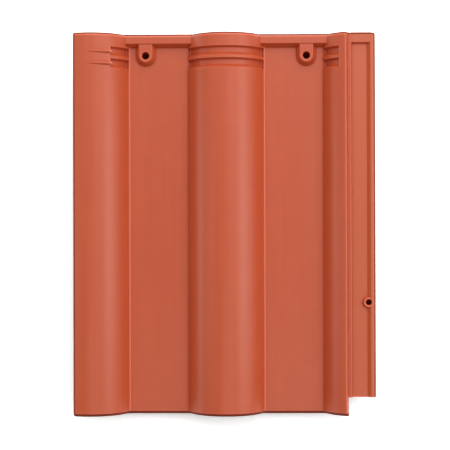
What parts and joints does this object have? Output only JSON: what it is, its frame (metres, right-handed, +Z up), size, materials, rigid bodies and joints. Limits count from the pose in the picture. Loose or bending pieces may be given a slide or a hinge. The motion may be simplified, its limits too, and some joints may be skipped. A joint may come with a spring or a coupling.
{
  "type": "roof tile",
  "caption": "Interlocking concrete roof tile with rolls and flat pans, a side flange that the next tile covers, nail bosses at the head and nibs that hook over a batten.",
  "frame": {"origin": "middle of the tile on the level that its head nibs and tail bars stand on", "axes": "+Y up the roof slope to the tile's head, +X to the side flange, +Z up out of the roof"},
  "size_m": [0.334, 0.424, 0.0519],
  "materials": {
    "coated_concrete": "satin"
  },
  "bodies": {
    "root": {"roof_tile": "coated_concrete"}
  },
  "joints": []
}
